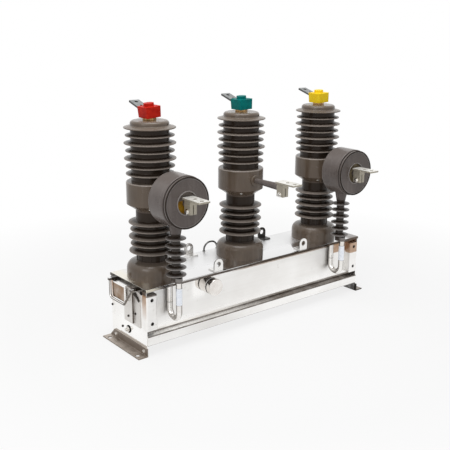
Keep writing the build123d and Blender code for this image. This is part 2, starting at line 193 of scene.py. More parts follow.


# cast resin and silicone: faint clouds, fine pores, pale dust and painted top light on what faces up; around
# an axis the roots between the sheds are darkened as painted shade, and their rims and the listed edges are
# made pale as a painted highlight
def castSkin(name, look, axis=None, roots=(), edges=()):
    mat, tree, shader, coord, place = newMaterial(name)
    clouds = addNoise(tree, coord, look["cloudScale"], detail=6.0)
    runs = addNoise(tree, coord, 1.0, detail=3.0, stretch=look["runs"])
    fine = addNoise(tree, coord, look["poreScale"], detail=3.0)
    tone = addTones(tree, clouds, noiseSpan, look["dark"], look["light"])
    tone = addMix(tree, addRange(tree, runs, *look["runSpan"], 0.0, look["runShare"]), tone, look["dust"])
    # dust and painted top light: what faces up is paler
    upward = addFacing(tree, (0, 0, 1))
    tone = addMix(tree, addRange(tree, upward, 0.3, 1.0, 0.0, look["dustAndTopLightShare"]), tone, look["dust"])
    rough = addRange(tree, clouds, *noiseSpan, look["roughness"] - 0.06, look["roughness"] + 0.08)
    if axis:
        flat = addNode(tree, "VectorMath", {0: coord, 1: (*axis, 0)}, operation="SUBTRACT").outputs[0]
        flat = addNode(tree, "VectorMath", {0: flat, 1: (1, 1, 0)}, operation="MULTIPLY").outputs[0]
        radius = addNode(tree, "VectorMath", {0: flat}, operation="LENGTH").outputs["Value"]
        sideways = addRange(tree, addMath(tree, "ABSOLUTE", upward), 0.45, 0.8, 1.0, 0.0)
        for low, high, rootRadius in roots:
            inside = addSpan(tree, place["Z"], low, high, look["rootSoft"])
            beyond = [(rootRadius + step) * mm for step in look["rimSteps"]]
            rim = addMath(tree, "MULTIPLY", sideways, addRange(tree, radius, *beyond[:2]))
            rim = addMath(tree, "MAXIMUM", rim, addRange(tree, radius, *beyond[2:], 0.0, look["outerShare"]))
            # painted shade in the roots, held back where the rim's painted highlight lies
            root = addMath(tree, "MULTIPLY", inside, addMath(tree, "SUBTRACT", look["rootShadeShare"], rim))
            tone = addMix(tree, root, tone, look["root"])
            rough = addRange(tree, root, 0.0, 1.0, rough, look["rootRoughness"])
            rim = addMath(tree, "MULTIPLY", addMath(tree, "MULTIPLY", inside, rim), look["rimHighlightShare"])
            tone = addMix(tree, rim, tone, look["rim"])
        # painted highlight along the listed edges
        for low, high, edgeRadius in edges:
            inner = (edgeRadius - look["edgeWidth"]) * mm
            edgeHighlight = addRange(tree, radius, inner, edgeRadius * mm, 0.0, look["rimHighlightShare"])
            edgeHighlight = addMath(tree, "MULTIPLY", edgeHighlight, addSpan(tree, place["Z"], low, high, look["edgeSoft"]))
            tone = addMix(tree, edgeHighlight, tone, look["rim"])
    tree.links.new(tone, shader.inputs["Base Color"])
    tree.links.new(rough, shader.inputs["Roughness"])
    shader.inputs["Specular IOR Level"].default_value = look["gloss"]
    addBump(tree, shader, fine, look["pores"], look["poreDepth"] * mm)
    return mat


metalGrain = {"toneSpan": (0.32, 0.68), "fineTimes": 9.0, "sideShadeSpan": (0.4, 0.8), "soft": 2.0, "depth": 0.4}


# plain metal fittings: two close tones, spots, a fine grain, and above a height a darker tone as painted
# shade on what doesn't face along the flat's direction
def fittingMetal(name, dark, light, rough, grain, bump, side=None, metallic=1.0):
    mat, tree, shader, coord, place = newMaterial(name)
    spots = addNoise(tree, coord, grain, detail=6.0, roughness=0.65)
    fine = addNoise(tree, coord, grain * metalGrain["fineTimes"], detail=3.0)
    tone = addTones(tree, spots, metalGrain["toneSpan"], dark, light)
    if side:
        flat = addMath(tree, "ABSOLUTE", addFacing(tree, side["flat"]))
        edge = addRange(tree, flat, *metalGrain["sideShadeSpan"], side["share"], 0.0)
        above = addRange(tree, place["Z"], side["above"] * mm, (side["above"] + metalGrain["soft"]) * mm)
        tone = addMix(tree, addMath(tree, "MULTIPLY", edge, above), tone, side["colour"])
    tree.links.new(tone, shader.inputs["Base Color"])
    tree.links.new(addRange(tree, spots, *noiseSpan, rough * 0.75, rough * 1.3), shader.inputs["Roughness"])
    shader.inputs["Metallic"].default_value = metallic
    addBump(tree, shader, fine, bump, metalGrain["depth"] * mm)
    return mat


plasticGrain = {"toneScale": 70.0, "toneSpan": (0.35, 0.65), "speckScale": 380.0, "speckSpan": (0.62, 0.72),
                "speckDarkness": 0.35, "peelScale": 420.0, "peel": 0.15, "peelDepth": 0.5, "gloss": 0.08}


# moulded plastic: mottled tone, small dark specks, an orange-peel skin, and dust between two places
# on an axis
def mouldedPlastic(name, dark, light, rough, speck=0.25, dusty=None):
    mat, tree, shader, coord, place = newMaterial(name)
    tone = addNoise(tree, coord, plasticGrain["toneScale"], detail=5.0, roughness=0.6)
    specks = addNoise(tree, coord, plasticGrain["speckScale"], detail=2.0)
    peel = addNoise(tree, coord, plasticGrain["peelScale"], detail=2.0)
    colour = addTones(tree, tone, plasticGrain["toneSpan"], dark, light)
    speckTone = tuple(plasticGrain["speckDarkness"] * c for c in dark)
    colour = addMix(tree, addRange(tree, specks, *plasticGrain["speckSpan"], 0.0, speck), colour, speckTone)
    if dusty:
        axis, *span, dust = dusty
        colour = addMix(tree, addSpan(tree, place[axis], *span), colour, dust)
    tree.links.new(colour, shader.inputs["Base Color"])
    tree.links.new(addRange(tree, tone, *noiseSpan, rough - 0.05, rough + 0.08), shader.inputs["Roughness"])
    shader.inputs["Specular IOR Level"].default_value = plasticGrain["gloss"]
    addBump(tree, shader, peel, plasticGrain["peel"], plasticGrain["peelDepth"] * mm)
    return mat


wallLook = {"dark": srgb(238, 236, 233), "light": srgb(251, 250, 248), "speck": srgb(206, 202, 196),
            "speckScale": 55.0, "speckSpan": (0.68, 0.8), "speckShare": 0.35, "cloudScale": 6.0,
            "mottleScale": 38.0, "waveScale": 7.0, "ripple": 0.03, "rippleDepth": 2.0,
            "roughness": 0.5, "grain": (3, 160, 160), "polish": ()}
lidLook = dict(wallLook, dark=srgb(230, 230, 230), light=srgb(240, 240, 240), roughness=0.07, ripple=0.02,
               polish=[({"Y": (-10, 120, 30)}, 0.4)])
# colours of painted shade and of painted reflections of brown surroundings
paintedShadeBrown = srgb(84, 72, 62)
paintedReflectionBrown = srgb(170, 130, 92)
wallPolish = [({"Z": (0, 70, 35)}, 0.08),
              ({"X": (-262, -228, 14), "Z": (142, 190, 16), "Y": (-90, -70, 1)}, 0.1)]
# wall bands: painted shade and reflection under the lid's lip, painted shade where the wall meets the ledge,
# painted shadow by the right foot, painted reflections of brown surroundings beside the right pipe and on the
# left end, and painted shade under the left end of the lid
wallSteel = sheetSteel("wallSteel", dict(wallLook, polish=wallPolish), [
    ({"Z": (187, 200, 2), "X": (-60, 400, 60)}, srgb(168, 151, 134), 0.85),
    ({"Z": (60, 67, 0.5), "Y": (-82, -70, 1), "X": (-446, 446, 0.1)}, paintedShadeBrown, 0.85),
    ({"X": (430, 447, 0.5), "Z": (0, 31, 0.5)}, srgb(44, 40, 37), 0.95),
    ({"X": (338, 446, 1.5), "Y": (-90, -79, 1), "Z": (160, 199, 3)}, paintedReflectionBrown, 0.85),
    ({"X": (-450, -446.2, 0.2), "Y": (-99, -78, 3), "Z": (172, 199, 60)}, paintedReflectionBrown, 0.7),
    ({"X": (-450, -446.2, 0.2), "Z": (188, 205, 2)}, paintedShadeBrown, 0.9)])
# lid bands: a painted reflection of brown surroundings along the front lip, a grey painted reflection line at
# the top bend, a cream tint toward the left end, a darker painted reflection at the right end, and a
# near-black painted reflection on the left lip
lidSteel = sheetSteel("lidSteel", lidLook, [
    ({"Z": (190, 205.6, 0.4)}, srgb(72, 61, 52), 0.97),
    ({"Z": (190, 206.6, 0.3), "X": (-20, 400, 80)}, srgb(70, 59, 50), 0.97),
    ({"Z": (206, 208, 0.3), "Y": (-98.6, -97.2, 0.4)}, srgb(140, 132, 124), 0.6),
    ({"X": (-446.5, -424, 30)}, srgb(246, 240, 222), 0.6),
    ({"X": (404, 460, 8)}, srgb(92, 80, 70), 0.85),
    ({"X": (-470, -447.2, 0.3)}, srgb(46, 40, 35), 0.96)])
# tray bands: painted shade on the ledge, darker toward the right, and along the ledge's front edge, and a
# grey line along the bottom bend
traySteel = sheetSteel("traySteel", wallLook, [
    ({"Z": (62.2, 64, 0.3), "X": (60, 500, 260)}, srgb(95, 82, 70), 0.9),
    ({"Z": (59.5, 64, 0.4), "Y": (-105, -101.0, 0.4)}, paintedShadeBrown, 0.9),
    ({"Z": (30, 33.8, 0.5)}, srgb(120, 112, 104), 0.9)])
# brackets: painted shade under the lid along the top, and painted reflections of brown surroundings on the
# left end and on the right brackets
bracketSteel = sheetSteel("bracketSteel", wallLook, [
    ({"Z": (183.5, 190, 1)}, srgb(104, 94, 86), 0.9),
    ({"X": (-450, -446, 0.4), "Z": (168, 190, 60)}, paintedReflectionBrown, 0.85)])
paintedReflectionBracket = sheetSteel("paintedReflectionBracket", wallLook, [({"Z": (152, 190, 2)}, paintedReflectionBrown, 0.85)])
# hood: a painted reflection of brown surroundings on its end face
hoodSteel = sheetSteel("hoodSteel", dict(wallLook, roughness=0.2), [
    ({"X": (-470, -467.6, 0.5), "Z": (140, 194, 1.5)}, srgb(134, 106, 78), 0.97)])
# plate: painted shade on the fin
plateSteel = sheetSteel("plateSteel", dict(wallLook, dark=srgb(206, 202, 197), light=srgb(222, 219, 215)),
                        [({"X": (-460, -450.0, 0.6)}, srgb(86, 74, 64), 0.95)])
# dark is the colour of the painted reflection along the rods' edges
pipeLook = {"plain": srgb(226, 222, 217), "light": srgb(242, 240, 237), "dark": srgb(84, 76, 68),
            "roughness": 0.2, "paintedReflectionSide": (0.78, -0.62, 0.0), "bothEdges": True,
            "start": 0.55, "full": 0.9, "share": 0.9,
            "stainScale": 40.0, "fineScale": 300.0, "fineBump": 0.04, "fineDepth": 0.5}
handleLook = dict(pipeLook, paintedReflectionSide=(0.67, -0.29, 0.68), start=0.2, full=0.5, share=0.97)
plugLook = dict(pipeLook, plain=srgb(222, 216, 210), light=srgb(240, 237, 233), bothEdges=False,
                paintedReflectionSide=(-0.7, 0.0, 0.7), start=0.85, full=1.0, share=0.5)
# the rear hoop wears a darker copy of the pipes' steel as painted shade; the pipe joint rings share its dark
# colour
shadedHoopLook = dict(pipeLook, plain=srgb(96, 96, 94), light=srgb(140, 140, 138), dark=srgb(46, 45, 43))
pipeSteel = rodSteel("pipeSteel", pipeLook)
handleSteel = rodSteel("handleSteel", handleLook)
plugSteel = rodSteel("plugSteel", plugLook)
shadedHoopAndJointSteel = rodSteel("shadedHoopAndJointSteel", shadedHoopLook)
# eyes: above the lid, what doesn't face along y gets painted shade on the edges; the rear right eye wears a
# darker copy as painted shade, which also gives the weld beads their dark colour
eyeSteel = fittingMetal("eyeSteel", srgb(232, 230, 227), srgb(246, 245, 243), 0.3, 80.0, 0.12,
                        {"flat": (0, 1, 0), "share": 0.85, "colour": srgb(92, 86, 80), "above": 212})
shadedEyeAndWeldSteel = fittingMetal("shadedEyeAndWeldSteel", srgb(64, 62, 60), srgb(110, 108, 105), 0.35, 80.0, 0.15)
# feet: what doesn't face up or down gets painted shade on the legs; the right foot wears a darker copy as
# painted shade, its legs near black as painted shadow
footSteel = fittingMetal("footSteel", srgb(170, 160, 150), srgb(196, 187, 178), 0.45, 60.0, 0.15,
                         {"flat": (0, 0, 1), "share": 0.8, "colour": srgb(116, 105, 96), "above": -9})
shadedFoot = fittingMetal("shadedFoot", srgb(140, 132, 124), srgb(164, 156, 148), 0.45, 60.0, 0.15,
                        {"flat": (0, 0, 1), "share": 0.95, "colour": srgb(44, 40, 37), "above": -9})
# root is the colour of the painted shade between the sheds, rim that of the painted highlight on rims and
# edges; dust is the pale tone of streaks and dust, on what faces up also painted top light
castLook = {"dark": srgb(84, 73, 65), "light": srgb(98, 86, 77), "dust": srgb(124, 114, 105),
            "root": srgb(54, 44, 36), "rim": srgb(154, 144, 136), "dustAndTopLightShare": 0.5, "rootShadeShare": 0.97,
            "rimHighlightShare": 0.9, "rimSteps": (3, 6, 8, 15), "outerShare": 0.6, "roughness": 0.28,
            "rootRoughness": 0.25, "rootSoft": 1.5, "edgeWidth": 2.0, "edgeSoft": 1.0, "gloss": 0.15,
            "cloudScale": 14.0, "runs": (90, 90, 9), "runSpan": (0.5, 0.75), "runShare": 0.25,
            "poreScale": 900.0, "pores": 0.1, "poreDepth": 0.4}
bodyLook = dict(castLook, dark=srgb(86, 73, 61), light=srgb(101, 87, 74), roughness=0.22, gloss=0.42)
drumLook = dict(castLook, dark=srgb(88, 79, 75), light=srgb(102, 93, 89), dust=srgb(134, 127, 123),
                gloss=0.35)
postLook = dict(drumLook, rim=srgb(150, 145, 142))
# the roots of the poles and posts get painted shade, and the collar's upper edge a painted highlight
poleRoots = [(260, 409, 46.0), (500, 650, 56.5)]   # bottom and top of each shedded column, radius of its root
poleEdges = [(495.5, 499, 69.0)]                   # the same for the collar's upper edge
postRoots = [(226, 366, 13.0)]
shedBrown = {phase: castSkin(f"shedBrown_{phase}", castLook, (poleX[phase], 0), poleRoots)
             for phase in phaseNames}
bodyBrown = {phase: castSkin(f"bodyBrown_{phase}", bodyLook, (poleX[phase], 0), (), poleEdges)
             for phase in phaseNames}
drumBrown = castSkin("drumBrown", drumLook)
postBrown = {side: castSkin(f"postBrown_{side}", postLook, postAxis[side][:2], postRoots) for side in sides}
rodBrown = castSkin("rodBrown", drumLook)
# a paler copy of the drum's resin: painted highlight on the face rings
litRimBrown = castSkin("litRimBrown", dict(drumLook, dark=srgb(126, 120, 118), light=srgb(146, 140, 138)))
# a darker copy of the casting: painted shade on the neck ribs
shadedRibBrown = castSkin("shadedRibBrown", dict(castLook, dark=srgb(54, 46, 41), light=srgb(72, 63, 56)))
# clamps: the sides get an olive painted shade, the tops stay bright
tinnedCopper = fittingMetal("tinnedCopper", srgb(226, 223, 215), srgb(248, 247, 243), 0.4, 90.0, 0.2,
                            {"flat": (0, 0, 1), "share": 0.85, "colour": srgb(158, 149, 130), "above": 0},
                            metallic=0.35)
# top terminals: the sides get painted shade
dullTin = fittingMetal("dullTin", srgb(120, 122, 122), srgb(168, 170, 169), 0.36, 90.0, 0.25,
                       {"flat": (0, 0.29, -0.95), "share": 0.8, "colour": srgb(64, 62, 60), "above": 0})
turnedBrass = fittingMetal("turnedBrass", srgb(128, 96, 58), srgb(206, 168, 114), 0.25, 110.0, 0.15)
zincSleeve = fittingMetal("zincSleeve", srgb(222, 227, 236), srgb(240, 243, 248), 0.3, 120.0, 0.12)
boltSteel = fittingMetal("boltSteel", srgb(206, 202, 196), srgb(236, 234, 230), 0.25, 120.0, 0.15)
darkBolt = fittingMetal("darkBolt", srgb(42, 38, 34), srgb(78, 72, 66), 0.4, 120.0, 0.2)
pouredResin = {"left": mouldedPlastic("pouredResin", srgb(130, 92, 24), srgb(184, 138, 40), 0.25, 0.3,
                                       ("Z", 474, 520, 3, srgb(120, 112, 105))),
               "right": mouldedPlastic("paleResin", srgb(104, 92, 72), srgb(140, 126, 100), 0.25, 0.3)}
plastics = {"red": mouldedPlastic("redPlastic", srgb(180, 28, 16), srgb(208, 44, 28), 0.42, 0.4),
            "green": mouldedPlastic("tealPlastic", srgb(0, 106, 104), srgb(0, 126, 122), 0.4, 0.3),
            "yellow": mouldedPlastic("yellowPlastic", srgb(255, 212, 34), srgb(255, 224, 48), 0.42, 0.15)}
# dark ring colour: painted shade in the drum face's groove
grooveShadeBrown = mouldedPlastic("grooveShadeBrown", srgb(46, 40, 36), srgb(64, 56, 50), 0.5)
darkRubber = mouldedPlastic("darkRubber", srgb(22, 20, 19), srgb(34, 31, 29), 0.55)
print("materials made")


# a grid of points as a mesh: each row closes on itself, and the last row may join the first
def gridMesh(name, points, closed=False):
    rows, cols = points.shape[:2]
    index = np.arange(rows * cols).reshape(rows, cols)
    here = index if closed else index[:-1]
    down = np.roll(index, -1, 0) if closed else index[1:]
    quads = np.stack([here, np.roll(here, -1, 1), np.roll(down, -1, 1), down], -1).reshape(-1, 4)
    mesh = bpy.data.meshes.new(name)
    mesh.from_pydata(points.reshape(-1, 3).tolist(), [], quads.tolist())
    return mesh


def shadeSmooth(mesh, sharpDeg):
    mesh.polygons.foreach_set("use_smooth", np.ones(len(mesh.polygons), bool))
    mesh.set_sharp_from_angle(angle=math.radians(sharpDeg))


def wear(mesh, *materials):
    mesh.materials.clear()
    for material in materials:
        mesh.materials.append(material)


# a finished mesh as a piece of the object
def placePiece(name, mesh):
    piece = bpy.data.objects.new(name, mesh)
    scene.collection.objects.link(piece)
    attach(piece, "root")
    return piece


joining = {"merge": 1e-6, "sliver": 1e-7, "sharpDeg": 35.0}


# one piece from several grids: joined, poles and seams merged, faces turned outwards, sharp edges kept
def addPiece(name, meshes, material):
    build = bmesh.new()
    for part in meshes:
        build.from_mesh(part)
        bpy.data.meshes.remove(part)
    bmesh.ops.remove_doubles(build, verts=build.verts, dist=joining["merge"])
    bmesh.ops.dissolve_degenerate(build, edges=build.edges, dist=joining["sliver"])
    bmesh.ops.recalc_face_normals(build, faces=build.faces)
    mesh = bpy.data.meshes.new(name)
    build.to_mesh(mesh)
    build.free()
    shadeSmooth(mesh, joining["sharpDeg"])
    wear(mesh, material)
    placePiece(name, mesh)


def axisFrame(axis):
    w = np.array(axis, float) / np.linalg.norm(axis)
    helper = np.array([0.0, 0.0, 1.0]) if abs(w[2]) < 0.9 else np.array([1.0, 0.0, 0.0])
    u = np.cross(helper, w)
    u /= np.linalg.norm(u)
    return u, np.cross(w, u), w


def fullCircle(steps):
    return np.linspace(0, 2 * np.pi, steps, endpoint=False)


# turned shape: each profile point (radius, height) swept through a full circle about the axis;
# with corners, the circle becomes a regular polygon, its radius times cos(half a side's angle)
# over cos(angle from the middle of that side)
def turned(profile, origin, axis, steps=48, corners=None, closed=False):
    u, v, w = axisFrame(axis)
    angle = fullCircle(steps)
    stretch = np.ones(steps)
    if corners:
        half = np.pi / corners
        stretch = np.cos(half) / np.cos((angle + 1e-9) % (2 * half) - half)
    prof = np.array(profile, float) * mm
    circle = np.cos(angle)[:, None] * u + np.sin(angle)[:, None] * v
    radial = prof[:, 0][:, None, None] * (circle * stretch[:, None])[None]
    points = np.array(origin, float) + radial + prof[:, 1][:, None, None] * w
    return gridMesh("turned", points, closed)


tubeSides = 12   # of a thin ring or bead


# ring: a circle of the tube's radius carried round the axis
def ring(radius, tubeRadius, origin, axis, steps=64):
    angle = fullCircle(tubeSides)
    profile = np.stack([radius + tubeRadius * np.cos(angle), tubeRadius * np.sin(angle)], -1)
    return turned(profile, origin, axis, steps, closed=True)


# bead: a circle carried along a straight line, its radius swelling and shrinking as sine ripples
# and closing at both ends as the root of 1 minus the eighth power of the way from the middle
def bead(start, end, radius, ripples, steps=60, depth=0.18):
    a, b = np.array(start, float), np.array(end, float)
    u, v, _ = axisFrame(b - a)
    t = np.linspace(0, 1, steps)
    close = np.sqrt(np.clip(1 - (2 * t - 1) ** 8, 0, 1))
    size = radius * mm * close * (1 + depth * np.sin(2 * np.pi * ripples * t))
    angle = fullCircle(tubeSides)
    circle = np.cos(angle)[:, None] * u + np.sin(angle)[:, None] * v
    return gridMesh("bead", (a + (b - a) * t[:, None])[:, None] + size[:, None, None] * circle)


# bar: a rounded rectangle, |x|^n + |y|^n = 1 scaled to half width and half thickness,
# carried along a straight line
def bar(start, end, across, halfWidth, halfThick, power=8.0, steps=32):
    a, b = np.array(start, float), np.array(end, float)
    w = (b - a) / np.linalg.norm(b - a)
    u = np.array(across, float)
    v = np.cross(w, u)
    angle = fullCircle(steps)
    c, s = np.cos(angle), np.sin(angle)
    section = (np.sign(c) * np.abs(c) ** (2 / power) * halfWidth * mm)[:, None] * u \
        + (np.sign(s) * np.abs(s) ** (2 / power) * halfThick * mm)[:, None] * v
    along = np.array([0.0, 0.0, 1.0, 1.0])
    size = np.array([0.0, 1.0, 1.0, 0.0])
    points = (a + (b - a) * along[:, None])[:, None] + size[:, None, None] * section
    return gridMesh("bar", points)


softening = {"merge": 2e-6, "flatDeg": 0.5, "sharpDeg": 32.0, "bevelDeg": 40.0}


# sheet and block nodes get a merged copy with softened edges in place of the loose triangles
def dressCopy(node, material, width, segments=2):
    mesh = nodes[node].data.copy()
    mesh.name = node + "Dressed"
    build = bmesh.new()
    build.from_mesh(mesh)
    bmesh.ops.remove_doubles(build, verts=build.verts, dist=softening["merge"])
    bmesh.ops.dissolve_limit(build, angle_limit=math.radians(softening["flatDeg"]), verts=build.verts,
                             edges=build.edges)
    build.to_mesh(mesh)
    build.free()
    if "custom_normal" in mesh.attributes:
        mesh.attributes.remove(mesh.attributes["custom_normal"])
    shadeSmooth(mesh, softening["sharpDeg"])
    wear(mesh, material)
    piece = placePiece(node + "Dressed", mesh)
    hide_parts(node)
    bevel = piece.modifiers.new("edges", "BEVEL")
    bevel.width = width * mm
    bevel.segments = segments
    bevel.limit_method = "ANGLE"
    bevel.angle_limit = math.radians(softening["bevelDeg"])
    bevel.harden_normals = True


bell = {"neck": 46.0, "skirt": 77.0, "low": 231.0, "top": 259.0, "power": 2.4}   # two radii, two heights


# the bell's shoulder drawn down to a rounder one, never above the solid: with q from 0 at the neck
# to 1 at the skirt and s from 0 to 1 in height, q^n + s^n = 1; its normals are that curve's own
def roundBell(mesh, x):
    points = np.empty(len(mesh.vertices) * 3, np.float32)
    mesh.vertices.foreach_get("co", points)
    points = points.reshape(-1, 3)
    normals = np.empty(len(mesh.loops) * 3, np.float32)
    mesh.corner_normals.foreach_get("vector", normals)
    normals = normals.reshape(-1, 3)
    corner = np.empty(len(mesh.loops), np.int32)
    mesh.loops.foreach_get("vertex_index", corner)
    width = bell["skirt"] - bell["neck"]
    drop = bell["top"] - bell["low"]
    power = bell["power"]
    out = points[:, :2] - (x, 0)
    radius = np.linalg.norm(out, axis=1) + 1e-9
    q = np.clip((radius / mm - bell["neck"]) / width, 0, 1)
    s = (1 - q ** power) ** (1 / power)
    height = points[:, 2] / mm
    target = bell["low"] + drop * s
    moved = (height > target) & (height < bell["top"])
    points[moved, 2] = target[moved] * mm
    sideways = out / radius[:, None] * (q ** (power - 1) / width)[:, None]
    slope = np.column_stack([sideways, s ** (power - 1) / drop])
    slope /= np.linalg.norm(slope, axis=1)[:, None]
    normals[moved[corner]] = slope[corner[moved[corner]]]
    mesh.vertices.foreach_set("co", points.ravel())
    mesh.normals_split_custom_set(normals.tolist())


# poles get a copy in two materials: glossy cap, collar and bell, and columns with their sheds, which get
# painted shade between the sheds and a painted highlight on the rims
def dressPole(phase):
    mesh = nodes[f"pole_{phase}"].data.copy()
    roundBell(mesh, poleX[phase])
    wear(mesh, bodyBrown[phase], shedBrown[phase])
    centres = np.empty(len(mesh.polygons) * 3)
    mesh.polygons.foreach_get("center", centres)
    height = centres.reshape(-1, 3)[:, 2] / mm
    shedded = np.zeros(len(height), bool)
    for low, high, _ in poleRoots:
        shedded |= (height > low) & (height < high)
    mesh.polygons.foreach_set("material_index", shedded.astype(np.int32))
    piece = placePiece(f"pole_{phase}Dressed", mesh)
    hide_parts(f"pole_{phase}")


def paint(node, material):
    wear(nodes[node].data, material)


for phase in phaseNames:
    dressPole(phase)
    paint(f"outlet_rod_{phase}", rodBrown)
    dressCopy(f"phase_cover_{phase}", plastics[phase], 1.0, 3)
    dressCopy(f"top_stub_{phase}", turnedBrass, 0.5)
    dressCopy(f"top_terminal_{phase}", dullTin, 0.4)
    dressCopy(f"front_terminal_{phase}", tinnedCopper, 0.5)
for side in sides:
    paint(f"transformer_drum_{side}", drumBrown)
    paint(f"transformer_bush_{side}", pouredResin[side])
    paint(f"lead_post_{side}", postBrown[side])
    paint(f"drip_pipe_{side}", pipeSteel)
    onLeft = side == "left"
    # the right foot wears the darker copy as painted shade
    dressCopy(f"foot_{side}", footSteel if onLeft else shadedFoot, 0.6)
    for end in ends:
        dressCopy(f"bracket_{end}_{side}", bracketSteel if onLeft else paintedReflectionBracket, 0.4)
        # the rear right eye wears the darker copy as painted shade
        shaded = end == "rear" and not onLeft
        dressCopy(f"lifting_eye_{end}_{side}", shadedEyeAndWeldSteel if shaded else eyeSteel, 0.5)
sheetNodes = (("housing_body", wallSteel, 0.5), ("bottom_tray", traySteel, 0.4), ("lid", lidSteel, 0.4),
              ("end_hood", hoodSteel, 0.4), ("end_bracket", plateSteel, 0.4))
for node, steel, width in sheetNodes:
    dressCopy(node, steel, width)
paint("rear_hoop", shadedHoopAndJointSteel)
paint("end_handle", handleSteel)
paint("plug_cap", plugSteel)
paint("earth_bolt", boltSteel)
print("CAD nodes dressed")

boltSizes = {"head": 8.5, "height": 6.0, "washer": 10.5, "washerThick": 1.6, "chamfer": 1.2, "cut": 0.72}
hexGrid = {"steps": 36, "corners": 6}
washerGrid = {"steps": 32}


# hexagon head on a washer: two turned shapes on one axis, the head's outer corner cut back
def hexBolt(origin, axis, scale):
    b = {key: value * scale for key, value in boltSizes.items()}
    top = b["washerThick"] + b["height"]
    washer = [(0, 0), (b["washer"], 0), (b["washer"], b["washerThick"]), (0, b["washerThick"])]
    head = [(0, b["washerThick"]), (b["head"], b["washerThick"]), (b["head"], top - b["cut"]),
            (b["head"] - b["chamfer"], top), (0, top)]
    return [turned(washer, origin, axis, **washerGrid), turned(head, origin, axis, **hexGrid)]


# bolts through the upright leg of each foot; places run along the foot
footBolt = {"places": (-88, 70), "height": 15, "scale": 0.55, "legSheet": 4.0}
legFace = abs(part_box("foot_left")[1].x) + footBolt["legSheet"] * mm
bolts = []
for sign in (-1, 1):
    for y in footBolt["places"]:
        bolts += hexBolt((sign * legFace, y * mm, footBolt["height"] * mm), (sign, 0, 0), footBolt["scale"])
addPiece("footBolts", bolts, boltSteel)

# bolts on the left end, some on the end bracket's plate and some on the wall; places are (y, z)
endBolt = {"plate": ((-3, 98), (-43, 117)), "wall": ((37, 51), (94, 104)), "scale": 0.38, "plateSheet": 2.5}
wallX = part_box("bracket_front_left")[0].x
plateX = wallX - endBolt["plateSheet"] * mm
bolts = []
for surface, x in (("plate", plateX), ("wall", wallX)):
    for y, z in endBolt[surface]:
        bolts += hexBolt((x, y * mm, z * mm), (-1, 0, 0), endBolt["scale"])
addPiece("endPlateBolts", bolts, darkBolt)

# latch on the end plate: a ring, and a flat lever hanging from it
latch = {"ring": (-46, 179), "tip": (-68, 163), "ringRadius": 5.0, "wire": 1.8,
         "leverHalfThick": 1.6, "leverHalfWide": 3.4}
ringAt = (plateX - latch["wire"] * mm, latch["ring"][0] * mm, latch["ring"][1] * mm)
tipAt = (ringAt[0], latch["tip"][0] * mm, latch["tip"][1] * mm)
latchRing = ring(latch["ringRadius"], latch["wire"], ringAt, (1, 0, 0))
lever = bar(ringAt, tipAt, (1, 0, 0), latch["leverHalfThick"], latch["leverHalfWide"])
addPiece("endLatch", [latchRing, lever], darkBolt)

# dished rubber plug in the left end's front top corner
cornerPlug = {"place": (-73, 190), "radius": 6.0, "edge": 0.8, "bevel": 1.0, "proud": 1.2, "dish": 0.9}
profile = [(0, 0), (cornerPlug["radius"], 0), (cornerPlug["radius"], cornerPlug["edge"]),
           (cornerPlug["radius"] - cornerPlug["bevel"], cornerPlug["proud"]), (0, cornerPlug["dish"])]
place = (wallX, cornerPlug["place"][0] * mm, cornerPlug["place"][1] * mm)
addPiece("cornerPlug", [turned(profile, place, (-1, 0, 0))], darkRubber)

# washer under the earth bolt, its darkness also painted shade round the bolt's head
washer = {"bore": 5.2, "radius": 12.0, "thick": 1.4}
earth = middle("earth_bolt")
profile = [(washer["bore"], 0), (washer["radius"], 0), (washer["radius"], washer["thick"]),
           (washer["bore"], washer["thick"])]
addPiece("earthWasher", [turned(profile, (wallX, earth.y, earth.z), (-1, 0, 0), closed=True)],
         darkRubber)

# bolt through both cheeks of each front clamp
clampBolt = {"back": 14.0, "rise": 7.0, "half": 11.0, "scale": 0.75}
bolts = []
for phase in phaseNames:
    low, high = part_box(f"front_terminal_{phase}")
    for sign in (-1, 1):
        x = poleX[phase] + sign * clampBolt["half"] * mm
        place = (x, high.y - clampBolt["back"] * mm, low.z + clampBolt["rise"] * mm)
        bolts += hexBolt(place, (sign, 0, 0), clampBolt["scale"])
addPiece("clampBolts", bolts, boltSteel)
print("bolts placed")

# captive nuts close the bracket holes from behind
bracketNut = {"radius": 9.0, "thick": 5.0, "heights": (98.5, 171.5), "x": 427.5, "sheet": 2.5}
profile = [(0, 0), (bracketNut["radius"], 0), (bracketNut["radius"], bracketNut["thick"]),
           (0, bracketNut["thick"])]
nuts = []
for sign in (-1, 1):
    for end, y in ((-1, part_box("bracket_front_left")[0].y), (1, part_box("bracket_rear_left")[1].y)):
        for z in bracketNut["heights"]:
            origin = (sign * bracketNut["x"] * mm, y - end * bracketNut["sheet"] * mm, z * mm)
            nuts.append(turned(profile, origin, (0, -end, 0), **hexGrid))
addPiece("bracketNuts", nuts, darkRubber)

# sleeve over the front leg of each drip pipe with a ring at its ends, and a joint ring on the rear leg
sleeve = {"legRadius": 9.0, "sunk": 0.4, "proud": 0.6, "low": 153.0, "high": 205.0,
          "joint": 150.0, "jointTube": 0.7}
inner = sleeve["legRadius"] - sleeve["sunk"]
outer = sleeve["legRadius"] + sleeve["proud"]
profile = [(inner, sleeve["low"]), (outer, sleeve["low"]), (outer, sleeve["high"]), (inner, sleeve["high"])]
tubes = []
joints = []
for side in sides:
    low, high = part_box(f"drip_pipe_{side}")
    x = middle(f"drip_pipe_{side}").x
    frontY = low.y + sleeve["legRadius"] * mm
    rearY = high.y - sleeve["legRadius"] * mm
    tubes.append(turned(profile, (x, frontY, 0), (0, 0, 1), closed=True))
    for y, z in ((frontY, sleeve["low"]), (frontY, sleeve["high"]), (rearY, sleeve["joint"])):
        joints.append(ring(sleeve["legRadius"], sleeve["jointTube"], (x, y, z * mm), (0, 0, 1)))
